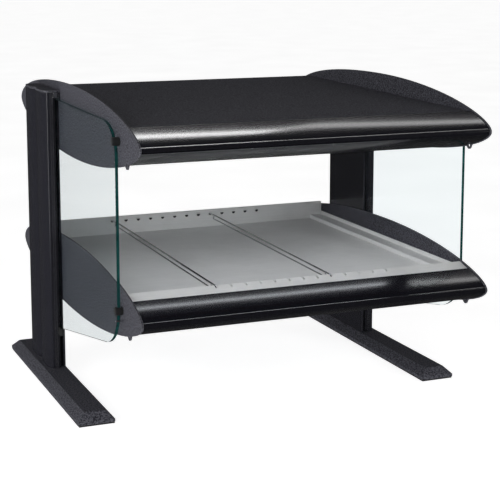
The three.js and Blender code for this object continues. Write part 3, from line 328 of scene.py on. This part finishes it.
def set_material(piece, *materials):
    piece.data.materials.clear()
    for material in materials:
        piece.data.materials.append(material)


# Folded sheets. Their flat faces aren't merged: on the tray, merging and rounding broke the recess wall.
FOLDED = ("shelf_tray", "canopy_top", "canopy_underside", "shelf_pan", "canopy_rear_cover",
          "shelf_rear_cover")
SHARP = math.radians(32)
COPLANAR = math.radians(0.4)
SAME_POINT = 0.002 * MM
EDGE_SEGMENTS = 2


def round_edges(piece, width, harden):
    """Rounds every sharp edge; harden keeps the flat faces beside it flat."""
    bevel = piece.modifiers.new("rounded_edges", "BEVEL")
    bevel.width = width
    bevel.segments = EDGE_SEGMENTS
    bevel.limit_method = "ANGLE"
    bevel.angle_limit = SHARP
    bevel.harden_normals = harden
    bevel.use_clamp_overlap = True


def refined(node, material, width):
    """The node's shape with its curves smooth and its edges rounded; folded sheet keeps flat shading."""
    folded = node in FOLDED
    source = NODES[node]
    piece = link(f"finished_{node}", source.data.copy())
    if "custom_normal" in piece.data.attributes:
        piece.data.attributes.remove(piece.data.attributes["custom_normal"])
    mesh = bmesh.new()
    mesh.from_mesh(piece.data)
    bmesh.ops.remove_doubles(mesh, verts=mesh.verts, dist=SAME_POINT)
    if not folded:
        bmesh.ops.dissolve_limit(mesh, angle_limit=COPLANAR, verts=mesh.verts, edges=mesh.edges)
    bmesh.ops.triangulate(mesh, faces=[face for face in mesh.faces if len(face.verts) > 4],
                          quad_method="BEAUTY", ngon_method="BEAUTY")
    for face in mesh.faces:
        face.smooth = not folded
    mesh.to_mesh(piece.data)
    mesh.free()
    piece.data.set_sharp_from_angle(angle=SHARP)
    set_material(piece, MATERIALS[material])
    if width:
        round_edges(piece, width, not folded)
    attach(piece, source["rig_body"])
    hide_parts(node)


def material_for(node):
    """The look of a node: its slot's, except that the uprights have their own, with lines along z."""
    if node.endswith("_upright"):
        return "trim_upright"
    return SLOTS[node]


# Widths of rounded edges by slot, in millimetres; 0 leaves the edges as packed.
EDGE_WIDTHS = {"powder": 0.5, "trim": 0.5, "stainless": 0.0, "glass": 0.6, "plastic": 0.4, "rubber": 0.5,
               "aluminium": 0.3, "chrome": 0.25, "lens": 0.3, "ceramic": 0.4, "amber": 0.0, "element": 0.0}
USUAL_EDGE_WIDTH = 0.4
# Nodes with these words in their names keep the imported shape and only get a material.
UNCHANGED = ("bolt", "insulation", "blanket", "holder", "reflector")

for node in sorted(NODES):
    look = material_for(node)
    if any(word in node for word in UNCHANGED):
        set_material(NODES[node], MATERIALS[look])
        continue
    refined(node, look, EDGE_WIDTHS.get(SLOTS[node], USUAL_EDGE_WIDTH) * MM)


# ---------------------------------------------------------------- glass edges

EDGE_FACE_TILT = 0.5


def colour_glass_edges(side):
    """Gives the faces round a pane, which don't look along x, the darker edge material."""
    piece = bpy.data.objects[f"finished_{side}_glass"]
    piece.data.materials.append(MATERIALS["glass_edge"])
    for face in piece.data.polygons:
        if abs(face.normal.x) < EDGE_FACE_TILT:
            face.material_index = 1


for side in ("left", "right"):
    colour_glass_edges(side)


# ---------------------------------------------------------------- small parts that only the looks need

def finish_piece(piece, body, material):
    set_material(piece, MATERIALS[material])
    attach(piece, body)


TICKS = 10
LONG_TICK_EVERY = 3
TICK_START, TICK_SWEEP = 45, 270
TICK_LONG, TICK_SHORT = 3.2 * MM, 2.0 * MM
TICK_WIDE, TICK_HIGH = 0.7 * MM, 0.3 * MM
TICK_BEHIND = 1.9 * MM
TICK_CLEAR = 1.6 * MM


def dial_marks():
    """A ring of short raised ticks round the heat knob."""
    low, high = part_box("thermostat_knob")
    centre = (low + high) / 2
    plate = low.y - TICK_BEHIND
    inner = (high.z - low.z) / 2 + TICK_CLEAR
    mesh = bmesh.new()
    for k in range(TICKS):
        angle = math.radians(TICK_START + TICK_SWEEP * k / (TICKS - 1))
        length = TICK_LONG if k % LONG_TICK_EVERY == 0 else TICK_SHORT
        for vert in bmesh.ops.create_cube(mesh, size=1.0)["verts"]:
            x, y, z = vert.co
            spot = Vector((x * TICK_WIDE, 0, inner + length / 2 + z * length))
            spot.rotate(Matrix.Rotation(angle + math.pi, 3, "Y"))
            vert.co = Vector((centre.x, plate, centre.z)) + spot + Vector((0, y * TICK_HIGH, 0))
    data = bpy.data.meshes.new("dial_marks")
    mesh.to_mesh(data)
    mesh.free()
    finish_piece(link("dial_marks", data), "case", "mark")


dial_marks()


# ---------------------------------------------------------------- stage, lights and camera

REFLECTED_FLOOR = 0.03
FLOOR_HALF = 30
FLOOR_GLOW = 0.95
FLOOR_DIMMING = (0.55, 0.55, 0.55)
WHITE = (1, 1, 1, 1)
# Ramps of (position, grey): straight out to overhead, and the mirrored world from its left to its right.
HORIZON_TO_OVERHEAD = ((0.0, 1.0), (0.25, 0.55), (0.55, 0.08), (1.0, 0.02))
MIRRORED_LEFT_TO_RIGHT = ((0.30, 0.24), (0.37, 0.17), (0.46, 0.03), (1.0, 0.02))


def mirrored_ray(tree):
    """1 for a ray that a surface has mirrored, 0 for one that is seen directly or through glass."""
    path = tree.nodes.new("ShaderNodeLightPath")
    mirrored = tree.nodes.new("ShaderNodeMath")
    mirrored.operation = "GREATER_THAN"
    mirrored.inputs[1].default_value = 0.5
    tree.links.new(path.outputs["Glossy Depth"], mirrored.inputs[0])
    return mirrored.outputs["Value"]


def stage_floor():
    """Plain pale floor with a soft shadow, dark in reflections so that black finishes stay black."""
    made, tree, shader = new_material("studio_floor", Roughness=0.85, Specular_IOR_Level=0.0,
                                      Emission_Strength=FLOOR_GLOW)
    tone = ramp(tree, pattern(tree, 3, detail=3.0), (0.3, (0.90, 0.90, 0.90)), (0.7, (0.94, 0.94, 0.94)))
    dimmed = blend_colours(tree, 1.0, tone, FLOOR_DIMMING, "MULTIPLY")
    tree.links.new(dimmed, shader.inputs["Base Color"])
    tree.links.new(tone, shader.inputs["Emission Color"])
    reflected = tree.nodes.new("ShaderNodeEmission")
    reflected.inputs["Color"].default_value = WHITE
    reflected.inputs["Strength"].default_value = REFLECTED_FLOOR
    either = tree.nodes.new("ShaderNodeMixShader")
    tree.links.new(mirrored_ray(tree), either.inputs["Fac"])
    tree.links.new(shader.outputs["BSDF"], either.inputs[1])
    tree.links.new(reflected.outputs["Emission"], either.inputs[2])
    tree.links.new(either.outputs["Shader"], tree.nodes["Material Output"].inputs["Surface"])
    mesh = bmesh.new()
    bmesh.ops.create_grid(mesh, x_segments=4, y_segments=4, size=FLOOR_HALF)
    data = bpy.data.meshes.new("studio_floor")
    mesh.to_mesh(data)
    mesh.free()
    floor = link("studio_floor", data)
    set_material(floor, made)


def studio_world():
    """White to look at, dark in reflections, and brighter round the horizon than overhead as a light."""
    world = bpy.data.worlds.new("studio")
    world.use_nodes = True
    tree = world.node_tree
    links = tree.links
    lighting = tree.nodes["Background"]
    place = tree.nodes.new("ShaderNodeTexCoord")
    split = tree.nodes.new("ShaderNodeSeparateXYZ")
    links.new(place.outputs["Generated"], split.inputs["Vector"])
    heights = ramp(tree, split.outputs["Z"], *HORIZON_TO_OVERHEAD)
    links.new(heights, lighting.inputs["Color"])
    seen = tree.nodes.new("ShaderNodeBackground")
    seen.inputs["Color"].default_value = WHITE
    reflected = tree.nodes.new("ShaderNodeBackground")
    side = tree.nodes.new("ShaderNodeMath")
    side.operation = "MULTIPLY_ADD"
    side.inputs[1].default_value = 0.5
    side.inputs[2].default_value = 0.5
    links.new(split.outputs["X"], side.inputs[0])
    sides = ramp(tree, side.outputs["Value"], *MIRRORED_LEFT_TO_RIGHT)
    links.new(sides, reflected.inputs["Color"])
    path = tree.nodes.new("ShaderNodeLightPath")
    diffuse = tree.nodes.new("ShaderNodeMixShader")
    links.new(path.outputs["Is Diffuse Ray"], diffuse.inputs["Fac"])
    links.new(seen.outputs["Background"], diffuse.inputs[1])
    links.new(lighting.outputs["Background"], diffuse.inputs[2])
    glossy = tree.nodes.new("ShaderNodeMixShader")
    links.new(mirrored_ray(tree), glossy.inputs["Fac"])
    links.new(diffuse.outputs["Shader"], glossy.inputs[1])
    links.new(reflected.outputs["Background"], glossy.inputs[2])
    links.new(glossy.outputs["Shader"], tree.nodes["World Output"].inputs["Surface"])
    bpy.context.scene.world = world


def softbox(name, place, target, wide, tall, power, lights_matt=True):
    """A rectangular light; without lights_matt it adds nothing to diffuse shading."""
    data = bpy.data.lights.new(name, "AREA")
    data.shape = "RECTANGLE"
    data.size = wide
    data.size_y = tall
    data.energy = power
    lamp = bpy.data.objects.new(name, data)
    bpy.context.scene.collection.objects.link(lamp)
    lamp.location = place
    lamp.rotation_euler = (Vector(target) - Vector(place)).to_track_quat("-Z", "Y").to_euler()
    lamp.visible_diffuse = lights_matt


CAMERA_PLACE = (-0.9091, -2.2667, 0.7620)
CAMERA_TILT, CAMERA_TURN = 80.887, -22.502
CAMERA_LENS, CAMERA_SENSOR = 97.73, 36
CAMERA_RISE = -0.15
CAMERA_REACH = 60


def camera():
    """A long lens in front of the case and to its left; lens and sensor in mm, angles in degrees."""
    data = bpy.data.cameras.new("camera")
    data.lens = CAMERA_LENS
    data.sensor_width = CAMERA_SENSOR
    data.shift_y = CAMERA_RISE
    data.clip_end = CAMERA_REACH
    made = bpy.data.objects.new("camera", data)
    bpy.context.scene.collection.objects.link(made)
    made.location = CAMERA_PLACE
    made.rotation_euler = (math.radians(CAMERA_TILT), 0, math.radians(CAMERA_TURN))
    bpy.context.scene.camera = made


stage_floor()
studio_world()
softbox("key", (-2.0, -1.7, 1.15), (0, 0, 0.3), 1.2, 1.0, 18)
softbox("left_strip", (-1.6, -0.25, 0.35), (-0.3, 0, 0.3), 0.22, 1.1, 7)
softbox("band_left", (0.45, 1.10, 2.3), (-0.1, -0.35, 0.45), 0.9, 0.28, 9, lights_matt=False)
softbox("band_right", (1.45, 1.03, 2.3), (0.2, -0.35, 0.45), 1.0, 0.28, 3, lights_matt=False)
softbox("fill", (2.0, -1.8, 1.0), (0, 0, 0.25), 1.2, 1.0, 14)
camera()
bpy.context.scene.view_settings.view_transform = "Standard"
